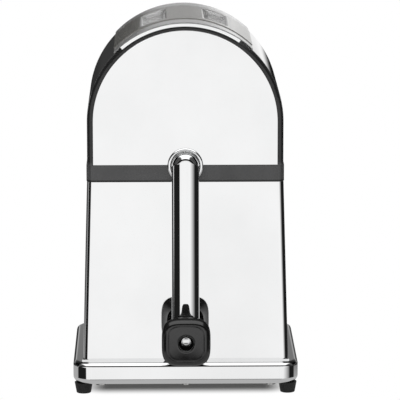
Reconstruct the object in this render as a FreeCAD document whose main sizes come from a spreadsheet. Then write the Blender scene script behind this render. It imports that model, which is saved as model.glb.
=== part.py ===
import FreeCAD, Part
import math
import os
import re

import Sketcher
from FreeCAD import Placement, Rotation, Vector

# Hand crank ice crusher, in millimetres.
# Frame: +Z is up, +X is the crank side, -Y is the front where the drawer comes out.
# The origin is the middle of the foot print on the table.

sizes = {
    # base and feet
    "base_width": 130.4, "base_length": 151.7, "base_corner": 13.5, "base_height": 14.85,
    "base_wall": 4.3, "base_roof": 2.4, "base_round": 3.1, "base_lower_round": 4,
    "foot_height": 7.15, "foot_radius": 6.15, "foot_tip_radius": 4.85, "foot_side_inset": 10.3,
    "foot_end_inset": 7, "foot_edge_round": 0.5, "foot_well_radius": 3.2, "foot_well_depth": 4,
    "cover_thickness": 2, "cover_gap": 0.2, "pad_radius": 4, "pad_drop": 0.8,
    "pad_inset": 7.4, "pad_from_foot": 12.1, "boss_radius": 4,
    "screw_radius": 1.5, "screw_head_radius": 2.8, "screw_head_height": 1.6, "screw_length": 9,
    # lower housing, set in from the edges of the base
    "body_side_inset": 9.2, "body_end_inset": 6.6, "body_lean": 3.5,
    "body_wall": 2, "body_corner": 4.5, "skirt_height": 0.8, "skirt_overhang": 0.6,
    "bay_side": 9, "bay_sill": 3, "bay_headroom": 6, "post_radius": 3.6,
    "post_side": 7.4, "post_end": 20.1,
    # black frame with its band and arch rims
    "band_below_axle": 11.1, "band_height": 11.3, "band_stand": 0.3, "frame_stand": 0.5,
    "band_edge_round": 0.6, "arch_above_axle": 29.2, "rim_step": 0.8, "rim_width": 3.6,
    "panel_thickness": 2, "panel_gap": 0.15, "panel_edge_round": 0.3,
    "frame_wall": 2.4, "deck_thickness": 3,
    "tongue_depth": 5, "tongue_wall": 2, "fit_gap": 0.15, "rim_round": 2.4,
    # covers, mouth frame and lid
    "cover_sheet": 1.2, "cover_seat": 0.9, "cover_side": 3.4, "cover_edge_round": 0.5,
    "lid_front_lap": 5, "lid_rear_lap": 8.9, "cover_gap_angle": 0.5,
    "mouth_front_angle": 40.4, "mouth_rear_angle": 33.8, "mouth_thickness": 2,
    "mouth_stand": 1, "mouth_border": 4,
    "lid_gap": 0.3, "lid_thickness": 1.3, "lid_side": 1.5, "lid_end_wall": 2, "lid_edge_round": 0.5,
    "bridge_half": 12.2, "bridge_draft": 1.4, "recess_room": 3.4, "recess_depth": 7.6,
    "recess_slope": 2, "recess_shelf": 4.2, "recess_end_room": 10, "recess_wall": 1.5,
    "recess_round": 3.5,
    # hopper, chute and the fixed combs
    "hopper_rise": 38, "hopper_wall": 2, "hopper_half_width": 38,
    "funnel_rise": 14, "throat_rise": 18.7, "throat_half": 27,
    "throat_drop": 19.3, "hopper_flange": 3, "chute_above_drawer": 3, "chute_wall": 1.8,
    "chute_flange": 4, "comb_thickness": 2.4, "comb_bar": 3, "comb_reach": 10.5,
    "comb_bar_half": 9, "comb_root_half": 6, "comb_tip_half": 2.5, "fine_root_half": 8,
    "fine_tip_half": 5, "hole_gap": 0.5,
    # shaft, rotor and crank
    "axle_height": 155.3, "hex_flats": 10, "crank_journal": 6,
    "plain_journal": 5, "running_gap": 0.05, "bush_wall": 2, "bush_flange": 1.8,
    "bush_flange_width": 2, "shoulder_radius": 8, "clip_length": 1.2, "clip_mouth": 3,
    "clip_rim": 2.2, "groove_depth": 0.8, "drive_square": 8, "drive_length": 7.4,
    "blade_count": 7, "blade_pitch": 10, "blade_thickness": 2, "blade_tip": 21,
    "blade_root": 9.5, "blade_hook": 4, "spacer_radius": 8, "end_gap": 0.3,
    "hub_radius": 12.05, "hub_thickness": 1.7, "hub_round": 1.5,
    "crank_gap": 0.3, "crank_radius": 112.8, "arm_half_width": 9.2, "arm_thickness": 10,
    "arm_round": 9, "arm_back_round": 0.8, "grub_radius": 2, "grub_length": 4,
    "knob_half": 16.2, "knob_corner": 9.8, "knob_back_half": 12.6,
    "knob_length": 26.7, "knob_front_round": 4.5, "knob_back_round": 1.5, "knob_gap": 0.3,
    "knob_well_radius": 4.9, "knob_well_depth": 6.4, "knob_well_round": 1.2,
    "spindle_radius": 2.75, "spindle_head_radius": 3.4, "spindle_head_height": 2.2,
    "spindle_head_round": 1.9, "knob_play": 0.15,
    # drawer
    "drawer_side": 3, "drawer_rear_room": 16.1, "drawer_height": 78, "drawer_wall": 2,
    "drawer_float": 0.3, "rail_width": 6, "rail_set_back": 8.9,
    "drawer_front_gap": 0.5, "drawer_front_thickness": 2.5,
    "finger_half_width": 20, "finger_depth": 10, "finger_drop": 22, "notch_radius": 14,
    # how far a cut runs on past the face it leaves
    "overrun": 1,
}

# what follows from the sizes: each is a formula over the ones above it
results = {
    "base_top": "foot_height + base_height",
    "foot_x": "base_width / 2 - foot_side_inset",
    "foot_y": "base_length / 2 - foot_end_inset",
    "pad_x": "base_width / 2 - pad_inset",
    "pad_pitch": "foot_y - pad_from_foot",
    "body_half_width": "base_width / 2 - body_side_inset",
    "foot_line_half_depth": "base_length / 2 - body_end_inset",
    "shoulder_half_depth": "foot_line_half_depth - body_lean",
    "bay_half_width": "body_half_width - bay_side",
    "bay_height": "drawer_height + bay_headroom",
    "post_half_width": "body_half_width - post_side",
    "post_half_depth": "shoulder_half_depth - post_end",
    "sill_top": "base_top + bay_sill",
    "drawer_floor": "sill_top + drawer_float",
    "drawer_half_width": "bay_half_width - drawer_side",
    "drawer_rear": "shoulder_half_depth - drawer_rear_room",
    "rail_front": "foot_line_half_depth - rail_set_back",
    "band_bottom": "axle_height - band_below_axle",
    "band_top": "band_bottom + band_height",
    "band_half_depth": "shoulder_half_depth + band_stand",
    "body_slope": "body_lean / (band_bottom - base_top)",
    "deck_bottom": "band_bottom - tongue_depth",
    "deck_top": "deck_bottom + deck_thickness",
    "frame_face": "body_half_width + frame_stand",
    "frame_inner_x": "frame_face - panel_thickness - frame_wall",
    "arch_centre": "axle_height + arch_above_axle",
    "rim_radius": "band_half_depth - rim_step",
    "panel_radius": "rim_radius - rim_width",
    "cover_inner": "rim_radius - cover_seat",
    "cover_radius": "cover_inner + cover_sheet",
    "cover_half_width": "frame_face - cover_side",
    "mouth_outer": "rim_radius + mouth_stand",
    "mouth_inner": "mouth_outer - mouth_thickness",
    "mouth_front": "mouth_outer * sin((mouth_front_angle - mouth_border) * 1deg)",
    "mouth_rear": "mouth_outer * sin((mouth_rear_angle - mouth_border) * 1deg)",
    "lid_inner": "mouth_outer + lid_gap",
    "lid_outer": "lid_inner + lid_thickness",
    "lid_half_width": "frame_face - lid_side",
    "lid_front": "mouth_front_angle + lid_front_lap",
    "lid_rear": "mouth_rear_angle + lid_rear_lap",
    "recess_outer": "mouth_rear - recess_room",
    "recess_half": "hopper_half_width - recess_end_room",
    "hopper_top": "arch_centre + hopper_rise",
    "hopper_bend_top": "arch_centre + funnel_rise",
    "hopper_bend_bottom": "axle_height + throat_rise",
    "hopper_bottom": "axle_height - throat_drop",
    "chute_bottom": "drawer_floor + drawer_height + chute_above_drawer",
    "hub_front": "frame_face + hub_thickness",
    "arm_back": "hub_front + crank_gap",
    "arm_front": "arm_back + arm_thickness",
    "knob_back": "arm_front + knob_gap",
    "knob_front": "knob_back + knob_length",
    "knob_height": "axle_height - crank_radius",
    "clip_low": "bush_flange + end_gap - frame_inner_x",
    "clip_high": "clip_low + clip_length",
    "shoulder_end": "frame_inner_x - bush_flange - end_gap",
    "grub_x": "arm_back + drive_length / 2",
}

doc = FreeCAD.newDocument("IceCrusher")
sheet = doc.addObject("Spreadsheet::Sheet", "Sizes")
cells = [*((alias, str(number)) for alias, number in sizes.items()),
         *((alias, "=" + formula) for alias, formula in results.items())]
for row, (alias, content) in enumerate(cells, start=1):
    sheet.set(f"A{row}", alias)
    sheet.setAlias(f"B{row}", alias)
    sheet.set(f"B{row}", content)
doc.recompute()

names = set(sizes) | set(results)
arch_middle = ("0", "arch_centre")


def bound(text):
    """The text with every size written as a cell of the sheet."""
    return re.sub(r"[a-z]\w+", lambda w: ("Sizes." if w.group() in names else "") + w.group(), str(text))


def value(text):
    return float(sheet.evalExpression(bound(text)))


def new_body(label):
    body = doc.addObject("PartDesign::Body", "Body_" + label)
    body.Label = label
    return body


def place(body, x="0", y="0", z="0", turn=0.0):
    """Puts the body at a bound place, turned about X by a fixed angle in degrees."""
    body.Placement = Placement(Vector(), Rotation(Vector(1, 0, 0), turn))
    for axis, text in (("x", x), ("y", y), ("z", z)):
        body.setExpression("Placement.Base." + axis, bound(text))


# ---- sketch outlines: each gives a function that draws on a sketch ----

def pin(sketch, geometry, end, across=None, up=None):
    """Ties one point of the sketch to bound distances from the sketch origin."""
    for kind, text in (("DistanceX", across), ("DistanceY", up)):
        if text is None:
            continue
        index = sketch.addConstraint(Sketcher.Constraint(kind, -1, 1, geometry, end, value(text)))
        sketch.setExpression(f"Constraints[{index}]", bound(text))


def join(sketch, first, first_end, second, second_end):
    sketch.addConstraint(Sketcher.Constraint("Coincident", first, first_end, second, second_end))


def line(sketch, start, stop):
    ends = [Vector(value(across), value(up), 0) for across, up in (start, stop)]
    return sketch.addGeometry(Part.LineSegment(*ends))


def arc(sketch, centre, radius, start_angle, stop_angle):
    """An arc about a bound centre, its angles in degrees from the sketch's X axis."""
    middle = Vector(value(centre[0]), value(centre[1]), 0)
    circle = Part.Circle(middle, Vector(0, 0, 1), value(radius))
    curve = Part.ArcOfCircle(circle, math.radians(start_angle), math.radians(stop_angle))
    index = sketch.addGeometry(curve)
    pin(sketch, index, 3, *centre)
    size = sketch.addConstraint(Sketcher.Constraint("Radius", index, value(radius)))
    sketch.setExpression(f"Constraints[{size}]", bound(radius))
    return index


def outline(points):
    def draw(sketch):
        around = list(zip(points, points[1:] + points[:1]))
        sides = [line(sketch, start, stop) for start, stop in around]
        for side, after in zip(sides, sides[1:] + sides[:1]):
            join(sketch, side, 2, after, 1)
        for side, (across, up) in zip(sides, points):
            pin(sketch, side, 1, across, up)
    return draw


def box(left, right, low, high):
    return outline([(left, low), (right, low), (right, high), (left, high)])


def round_box(half_across, half_up, radius):
    """A rectangle about the sketch origin with round corners."""
    def draw(sketch):
        curves = []
        for quarter, (left, under) in enumerate((("", ""), ("-", ""), ("-", "-"), ("", "-"))):
            centre = (f"{left}({half_across} - {radius})", f"{under}({half_up} - {radius})")
            curve = arc(sketch, centre, radius, 90 * quarter, 90 * quarter + 90)
            level, upright = (1, 2) if quarter % 2 == 0 else (2, 1)
            pin(sketch, curve, level, None, centre[1])
            pin(sketch, curve, upright, centre[0])
            curves.append((curve, centre, left, under))
        corners = [[(f"{left}{half_across}", centre[1]), (centre[0], f"{under}{half_up}")]
                   for _, centre, left, under in curves]
        for quarter in range(4):
            after = (quarter + 1) % 4
            start = corners[quarter][1 if quarter % 2 == 0 else 0]
            stop = corners[after][1 if after % 2 == 1 else 0]
            side = line(sketch, start, stop)
            join(sketch, curves[quarter][0], 2, side, 1)
            join(sketch, side, 2, curves[after][0], 1)
    return draw


def disc(across, up, radius):
    def draw(sketch):
        centre = Vector(value(across), value(up), 0)
        index = sketch.addGeometry(Part.Circle(centre, Vector(0, 0, 1), value(radius)))
        pin(sketch, index, 3, across, up)
        size = sketch.addConstraint(Sketcher.Constraint("Radius", index, value(radius)))
        sketch.setExpression(f"Constraints[{size}]", bound(radius))
    return draw


def arch(radius, low):
    """A round-topped doorway about the arch centre, down to the level low."""
    def draw(sketch):
        top = arc(sketch, arch_middle, radius, 0, 180)
        left = line(sketch, (f"-{radius}", "arch_centre"), (f"-{radius}", low))
        sill = line(sketch, (f"-{radius}", low), (radius, low))
        right = line(sketch, (radius, low), (radius, "arch_centre"))
        for first, second in ((left, sill), (sill, right)):
            join(sketch, first, 2, second, 1)
        join(sketch, top, 2, left, 1)
        join(sketch, right, 2, top, 1)
        pin(sketch, top, 1, None, "arch_centre")
        pin(sketch, top, 2, None, "arch_centre")
        pin(sketch, left, 2, f"-{radius}", low)
        pin(sketch, right, 1, radius, low)
    return draw


def slot(radius, low, high):
    """Two half circles on the upright axis, joined by straight sides."""
    def draw(sketch):
        top = arc(sketch, ("0", high), radius, 0, 180)
        bottom = arc(sketch, ("0", low), radius, 180, 360)
        left = line(sketch, (f"-{radius}", high), (f"-{radius}", low))
        right = line(sketch, (radius, low), (radius, high))
        for first, second in ((top, left), (left, bottom), (bottom, right), (right, top)):
            join(sketch, first, 2, second, 1)
        for curve, centre in ((top, high), (bottom, low)):
            for end in (1, 2):
                pin(sketch, curve, end, None, centre)
    return draw


def under_arc(radius, left, right, low):
    """The upright-sided area between the level low and an arc about the arch centre."""
    def draw(sketch):
        angles = [math.degrees(math.acos(value(f"({side}) / {radius}"))) for side in (right, left)]
        crown = arc(sketch, arch_middle, radius, *angles)
        tops = [(side, f"arch_centre + sqrt({radius} ^ 2 - ({side}) ^ 2)") for side in (left, right)]
        left_side = line(sketch, tops[0], (left, low))
        sill = line(sketch, (left, low), (right, low))
        right_side = line(sketch, (right, low), tops[1])
        around = (crown, left_side, sill, right_side, crown)
        for first, second in zip(around, around[1:]):
            join(sketch, first, 2, second, 1)
        pin(sketch, sill, 1, left, low)
        pin(sketch, sill, 2, right, low)
        pin(sketch, crown, 2, left)
        pin(sketch, crown, 1, right)
    return draw


def sector(inner, outer, start, stop):
    """A piece of ring about the arch centre, its angles taken from straight up towards +Y."""
    def draw(sketch):
        angles = [90 - value(stop), 90 - value(start)]
        inside = arc(sketch, arch_middle, inner, *angles)
        outside = arc(sketch, arch_middle, outer, *angles)
        for curve, radius in ((inside, inner), (outside, outer)):
            pin(sketch, curve, 1, f"{radius} * sin(({stop}) * 1deg)")
            pin(sketch, curve, 2, f"{radius} * sin(({start}) * 1deg)")
        for end, angle in ((1, stop), (2, start)):
            across = f"sin(({angle}) * 1deg)"
            up = f"cos(({angle}) * 1deg)"
            side = line(sketch, (f"{inner} * {across}", f"arch_centre + {inner} * {up}"),
                        (f"{outer} * {across}", f"arch_centre + {outer} * {up}"))
            join(sketch, side, 1, inside, end)
            join(sketch, side, 2, outside, end)
    return draw


def hexagon(flats, across="0", up="0"):
    corner = f"{flats} / cos(30deg) / 2"
    return outline([(f"{across} + {corner} * cos({60 * n}deg)", f"{up} + {corner} * sin({60 * n}deg)")
                    for n in range(6)])


# ---- features: each spans from one bound level to another along the sketch's normal ----

def sketch_on(body, plane, level, *outlines):
    """A sketch on one of the body's planes, moved out to a bound level."""
    sketch = body.newObject("Sketcher::SketchObject", f"Sketch_{body.Label}_{len(body.Group)}")
    origin_plane = next(f for f in body.Origin.OriginFeatures if f.Role == plane + "_Plane")
    sketch.AttachmentSupport = [(origin_plane, "")]
    sketch.MapMode = "FlatFace"
    sign = "-" if plane == "XZ" else ""
    sketch.setExpression("AttachmentOffset.Base.z", bound(f"{sign}({level})"))
    for draw in outlines:
        draw(sketch)
    return sketch


def extrude(kind, body, plane, start, stop, *outlines):
    number = len(body.Group)
    sketch = sketch_on(body, plane, f"(({start}) + ({stop})) / 2", *outlines)
    feature = body.newObject("PartDesign::" + kind, f"{kind}_{body.Label}_{number}")
    feature.Profile = sketch
    feature.SideType = "Symmetric"
    feature.setExpression("Length", bound(f"({stop}) - ({start})"))
    feature.Refine = True
    doc.recompute()
    return feature


def pad(body, plane, start, stop, *outlines):
    return extrude("Pad", body, plane, start, stop, *outlines)


def cut(body, plane, start, stop, *outlines):
    """Cuts the outlines out of the body and makes sure that something went."""
    before = body.Shape.Volume
    feature = extrude("Pocket", body, plane, start, stop, *outlines)
    if not body.Shape.Volume < before - 1e-3:
        raise ValueError("a cut of " + body.Label + " removes nothing")
    return feature


def draft_sides(body, drop, length, level):
    """Leans the sides in by drop over the length, away from the flat end at X = level."""
    base = body.Tip
    ends = [n for n, face in enumerate(base.Shape.Faces, start=1) if face.BoundBox.XLength < 1e-6]
    kept = [n for n in ends if abs(base.Shape.Faces[n - 1].BoundBox.XMin - value(level)) < 1e-6]
    sides = [n for n in range(1, len(base.Shape.Faces) + 1) if n not in ends]
    feature = body.newObject("PartDesign::Draft", f"Draft_{body.Label}_{len(body.Group)}")
    feature.Base = (base, [f"Face{n}" for n in sides])
    feature.NeutralPlane = (base, [f"Face{n}" for n in kept])
    feature.Reversed = True
    feature.setExpression("Angle", bound(f"atan(({drop}) / ({length}))"))
    doc.recompute()
    return feature


def revolve(body, points):
    """Turns a half outline of (radius, height) points about the body's Z axis."""
    sketch = sketch_on(body, "XZ", "0", outline(points))
    feature = body.newObject("PartDesign::Revolution", f"Revolution_{body.Label}_{len(body.Group)}")
    feature.Profile = sketch
    feature.ReferenceAxis = (sketch, ["V_Axis"])
    feature.Angle = 360
    doc.recompute()
    return feature


def round_edges(body, radius, wanted, kind="Fillet"):
    """Rounds (or chamfers) the edges of the body for which wanted(edge) holds."""
    doc.recompute()
    names = [f"Edge{n}" for n, edge in enumerate(body.Shape.Edges, start=1) if wanted(edge)]
    if not names:
        raise ValueError("no edge to round on " + body.Label)
    feature = body.newObject("PartDesign::" + kind, f"{kind}_{body.Label}_{len(body.Group)}")
    feature.Base = (body.Tip if body.Tip != feature else feature.BaseFeature, names)
    feature.setExpression("Radius" if kind == "Fillet" else "Size", bound(radius))
    doc.recompute()
    return feature


def runs_along(edge, direction, slack=0.05):
    """True for a straight edge along the direction, within a small lean."""
    if not isinstance(edge.Curve, (Part.Line, Part.LineSegment)):
        return False
    tangent = edge.tangentAt(edge.FirstParameter)
    return abs(tangent.dot(direction)) > 1 - slack


def lies_at(edge, axis, level):
    """True for an edge whose every end has this level on the axis x, y or z."""
    box_of_edge = edge.BoundBox
    low, high = getattr(box_of_edge, axis.upper() + "Min"), getattr(box_of_edge, axis.upper() + "Max")
    return abs(low - value(level)) < 1e-4 and abs(high - value(level)) < 1e-4


def stands_beyond(edge, radius):
    """True for an edge farther out than the radius about the arch axis, or beside it lower down."""
    middle = edge.valueAt((edge.FirstParameter + edge.LastParameter) / 2)
    rise = max(middle.z - value("arch_centre"), 0)
    return math.hypot(middle.y, rise) > value(radius)


def on_sides(edge, half_width):
    return lies_at(edge, "x", half_width) or lies_at(edge, "x", "-" + half_width)


def corner_places(x, y):
    return [(left + x, front + y) for left in ("-", "") for front in ("-", "")]


def blade_x(number):
    """Where a rotor blade sits along the shaft; they count from the plain end."""
    return f"(({number} - (blade_count + 1) / 2) * blade_pitch)"


pad_places = [(side + "pad_x", f"{step} * pad_pitch") for side in ("-", "") for step in (-1, 0, 1)]
foot_places = corner_places("foot_x", "foot_y")
blade_total = int(value("blade_count"))
tooth_x = [f"({n} - blade_count / 2) * blade_pitch" for n in range(blade_total + 1)]
comb_screw_x = ["-2 * blade_pitch", "2 * blade_pitch"]
post_places = corner_places("post_half_width", "post_half_depth")


# ---- base ----

def make_base_plate():
    body = new_body("base_plate")
    pad(body, "XY", "foot_height", "base_top",
        round_box("(base_width / 2)", "(base_length / 2)", "base_corner"))
    round_edges(body, "base_round", lambda e: lies_at(e, "z", "base_top"))
    round_edges(body, "base_lower_round", lambda e: lies_at(e, "z", "foot_height"))
    inner_x = "(base_width / 2 - base_wall)"
    inner_y = "(base_length / 2 - base_wall)"
    cut(body, "XY", "foot_height - overrun", "base_top - base_roof",
        round_box(inner_x, inner_y, "(base_corner - base_wall)"))
    screw_places = pad_places + foot_places
    pilot_top = "(base_top - base_roof / 2)"
    pad(body, "XY", "foot_height + cover_thickness", pilot_top,
        *[disc(x, y, "boss_radius") for x, y in screw_places])
    cut(body, "XY", "foot_height - overrun", pilot_top,
        *[disc(x, y, "screw_radius") for x, y in screw_places])
    cut(body, "XY", "foot_height", "base_top + overrun",
        *[disc(x, y, "screw_radius + fit_gap") for x, y in post_places])
    return body


def make_base_cover():
    body = new_body("base_cover")
    half_x = "(base_width / 2 - base_wall - cover_gap)"
    half_y = "(base_length / 2 - base_wall - cover_gap)"
    pad(body, "XY", "foot_height", "foot_height + cover_thickness",
        round_box(half_x, half_y, "(base_corner - base_wall - cover_gap)"))
    for x, y in pad_places:
        pad(body, "XY", "foot_height - pad_drop", "foot_height", disc(x, y, "pad_radius"))
    cut(body, "XY", "foot_height - pad_drop - overrun", "foot_height + cover_thickness + overrun",
        *[disc(x, y, "screw_radius + fit_gap") for x, y in pad_places + foot_places])
    cut(body, "XY", "foot_height - pad_drop - overrun", "foot_height - pad_drop + screw_head_height",
        *[disc(x, y, "screw_head_radius + fit_gap") for x, y in pad_places])
    return body


def make_foot(label, x, y):
    """A tapered rubber foot with a well for its screw."""
    body = new_body(label)
    well = "foot_well_radius"
    hole = "screw_radius + fit_gap"
    revolve(body, [(hole, "foot_well_depth"), (well, "foot_well_depth"), (well, "0"),
                   ("foot_tip_radius", "0"), ("foot_radius", "foot_height"), (hole, "foot_height")])
    middle = value(f"({well} + foot_tip_radius) / 2")
    round_edges(body, "foot_edge_round", lambda e: lies_at(e, "z", "0") and e.BoundBox.XMax > middle)
    place(body, x, y, "0")
    return body


def make_screws(label, places, direction, length):
    """Like pan head screws as one shape: each seats at (x, y, z) with its shank along the direction."""
    solids = []
    for x, y, z in places:
        seat = Vector(value(x), value(y), value(z))
        head = Part.makeCylinder(value("screw_head_radius"), value("screw_head_height"), seat, -direction)
        shank = Part.makeCylinder(value("screw_radius"), value(length), seat, direction)
        solids.append(head.fuse(shank).removeSplitter())
    screws = doc.addObject("Part::Feature", "Screws_" + label)
    screws.Label = label
    screws.Shape = Part.makeCompound(solids)
    screws.Placement = Placement()
    return screws


# ---- lower housing ----

def make_lower_housing():
    """A tapered chrome shell, open below, above and in front where the drawer runs."""
    body = new_body("lower_housing")

    def wall_section(inset):
        low, high = f"(foot_line_half_depth - {inset})", f"(shoulder_half_depth - {inset})"
        return outline([(f"-{low}", "base_top"), (low, "base_top"),
                        (high, "band_bottom"), (f"-{high}", "band_bottom")])

    pad(body, "YZ", "-body_half_width", "body_half_width", wall_section("0"))
    round_edges(body, "body_corner", lambda e: runs_along(e, Vector(0, 0, 1)))
    skirt_x = "(body_half_width + skirt_overhang)"
    skirt_y = "(foot_line_half_depth + skirt_overhang)"
    pad(body, "XY", "base_top", "base_top + skirt_height",
        box(f"-{skirt_x}", skirt_x, f"-{skirt_y}", skirt_y))
    inner_x = "(body_half_width - body_wall)"
    cut(body, "YZ", f"-{inner_x}", inner_x, wall_section("body_wall"))
    post_top = "(deck_bottom - fit_gap)"
    pad(body, "XY", "base_top", post_top, *[disc(x, y, "post_radius") for x, y in post_places])
    for x, y in post_places:
        wall_x = x.replace("post_half_width", "(body_half_width - body_wall / 2)")
        left, right = sorted((x, wall_x), key=value)
        pad(body, "XY", "base_top", post_top,
            box(left, right, f"{y} - post_radius / 2", f"{y} + post_radius / 2"))
    cut(body, "XY", "base_top - overrun", "band_bottom",
        *[disc(x, y, "screw_radius") for x, y in post_places])
    cut(body, "XZ", "-foot_line_half_depth - skirt_overhang - overrun",
        "-shoulder_half_depth + body_wall + overrun",
        box("-bay_half_width", "bay_half_width", "sill_top", "sill_top + bay_height"))
    return body


# ---- black frame, side panels, covers ----

def make_upper_frame():
    """The moulding that carries the shaft: a band, a deck and an arch with a rim at each side."""
    body = new_body("upper_frame")
    pad(body, "YZ", "-frame_face", "frame_face", arch("rim_radius", "band_top"))
    round_edges(body, "rim_round", lambda e: on_sides(e, "frame_face") and not lies_at(e, "z", "band_top"))
    pad(body, "XY", "band_bottom", "band_top", round_box("frame_face", "band_half_depth", "body_corner"))
    round_edges(body, "band_edge_round", lambda e: lies_at(e, "z", "band_bottom"))
    tongue_x = "(body_half_width - body_wall - fit_gap)"
    tongue_y = "(shoulder_half_depth - body_wall - fit_gap)"
    pad(body, "XY", "band_bottom - tongue_depth", "band_bottom",
        box(f"-{tongue_x}", tongue_x, f"-{tongue_y}", tongue_y))
    bore_x, bore_y = f"({tongue_x} - tongue_wall)", f"({tongue_y} - tongue_wall)"
    cut(body, "XY", "deck_top", "band_bottom", box(f"-{bore_x}", bore_x, f"-{bore_y}", bore_y))
    cut(body, "YZ", "-frame_inner_x", "frame_inner_x", arch("(rim_radius - frame_wall)", "band_bottom"))
    for start, stop in (("frame_face - panel_thickness", "frame_face + overrun"),
                        ("-frame_face - overrun", "-frame_face + panel_thickness")):
        cut(body, "YZ", start, stop, arch("(panel_radius + panel_gap)", "band_top"))
    cut(body, "YZ", "-frame_face - overrun", "frame_face + overrun",
        sector("mouth_inner", "lid_inner", "-mouth_front_angle", "mouth_rear_angle"))
    for side, angle in ((-1, "lid_front"), (1, "lid_rear")):
        cut(body, "YZ", "-cover_half_width - fit_gap", "cover_half_width + fit_gap",
            cover_section(side, f"{angle} + cover_gap_angle / 2", "(rim_radius + overrun)", "band_top"))
    skin = "(hopper_wall + fit_gap)"
    cut(body, "XY", "hopper_top", "arch_centre + mouth_outer",
        box(f"-hopper_half_width - {skin}", f"hopper_half_width + {skin}",
            f"-(mouth_front + {skin})", f"mouth_rear + {skin}"))
    cut(body, "XY", "deck_bottom - overrun", "deck_top + overrun",
        box(f"-hopper_half_width - {skin}", f"hopper_half_width + {skin}",
            f"-throat_half - {skin}", f"throat_half + {skin}"))
    cut(body, "YZ", "0", "frame_face + overrun",
        disc("0", "axle_height", "crank_journal + running_gap + bush_wall"))
    cut(body, "YZ", "-frame_inner_x - frame_wall", "0",
        disc("0", "axle_height", "plain_journal + running_gap + bush_wall"))
    cut(body, "XY", "deck_bottom - overrun", "deck_top + overrun",
        *[disc(x, y, "screw_radius + fit_gap") for x, y in post_places])
    return body


def make_side_panel(label, side):
    """A polished plate in the shape of a doorway, set flush in the rim; side is 1 or -1 along X."""
    body = new_body(label)
    near, far = f"{side} * (frame_face - panel_thickness)", f"{side} * frame_face"
    start, stop = (near, far) if side > 0 else (far, near)
    pad(body, "YZ", start, stop, arch("panel_radius", "(band_top + panel_gap)"))
    round_edges(body, "panel_edge_round", lambda e: lies_at(e, "x", f"{side} * frame_face"))
    if side > 0:
        cut(body, "YZ", start, stop,
            disc("0", "axle_height", "crank_journal + running_gap + bush_wall + fit_gap"))
    return body


def cover_section(side, angle, outer, low):
    """Arch cover sheet: from its end below the lid round to the side and down to the level low."""
    def draw(sketch):
        inner = "cover_inner"
        lean = value(angle)
        angles = (0, 90 - lean) if side > 0 else (90 + lean, 180)
        upper, level = (2, 1) if side > 0 else (1, 2)
        curves = [(arc(sketch, arch_middle, radius, *angles), radius) for radius in (inner, outer)]
        feet = []
        for curve, radius in curves:
            pin(sketch, curve, upper, f"{side} * {radius} * sin(({angle}) * 1deg)")
            pin(sketch, curve, level, None, "arch_centre")
            leg = line(sketch, (f"{side} * {radius}", "arch_centre"), (f"{side} * {radius}", low))
            join(sketch, curve, level, leg, 1)
            pin(sketch, leg, 2, f"{side} * {radius}", low)
            feet.append(leg)
        sill = line(sketch, (f"{side} * {inner}", low), (f"{side} * {outer}", low))
        join(sketch, feet[0], 2, sill, 1)
        join(sketch, feet[1], 2, sill, 2)
        across, up = f"sin(({angle}) * 1deg)", f"cos(({angle}) * 1deg)"
        tip = [(f"{side} * {radius} * {across}", f"arch_centre + {radius} * {up}")
               for radius in (inner, outer)]
        end = line(sketch, *tip)
        join(sketch, end, 1, curves[0][0], upper)
        join(sketch, end, 2, curves[1][0], upper)
    return draw


def make_cover(label, side, angle):
    """A chrome sheet let into the frame between its two rims, its edges rolled over."""
    body = new_body(label)
    pad(body, "YZ", "-cover_half_width", "cover_half_width",
        cover_section(side, f"{angle} + cover_gap_angle", "cover_radius", "(band_top + panel_gap)"))
    skin = "(cover_radius - cover_edge_round / 2)"
    round_edges(body, "cover_edge_round",
                lambda e: on_sides(e, "cover_half_width") and stands_beyond(e, skin))
    return body


def make_mouth_frame():
    """Curved chrome frame round the hopper mouth, with a collar that stands on the hopper."""
    body = new_body("mouth_frame")
    pad(body, "YZ", "-frame_face", "frame_face",
        sector("mouth_inner", "mouth_outer", "-mouth_front_angle", "mouth_rear_angle"))
    pad(body, "YZ", "-hopper_half_width - hopper_wall", "hopper_half_width + hopper_wall",
        under_arc("(mouth_inner + mouth_thickness / 2)", "-(mouth_front + hopper_wall)",
                  "(mouth_rear + hopper_wall)", "hopper_top"))
    cut(body, "XY", "hopper_top - overrun", "arch_centre + mouth_outer + overrun",
        box("-hopper_half_width", "hopper_half_width", "-mouth_front", "mouth_rear"))
    return body


# ---- lid ----

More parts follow.
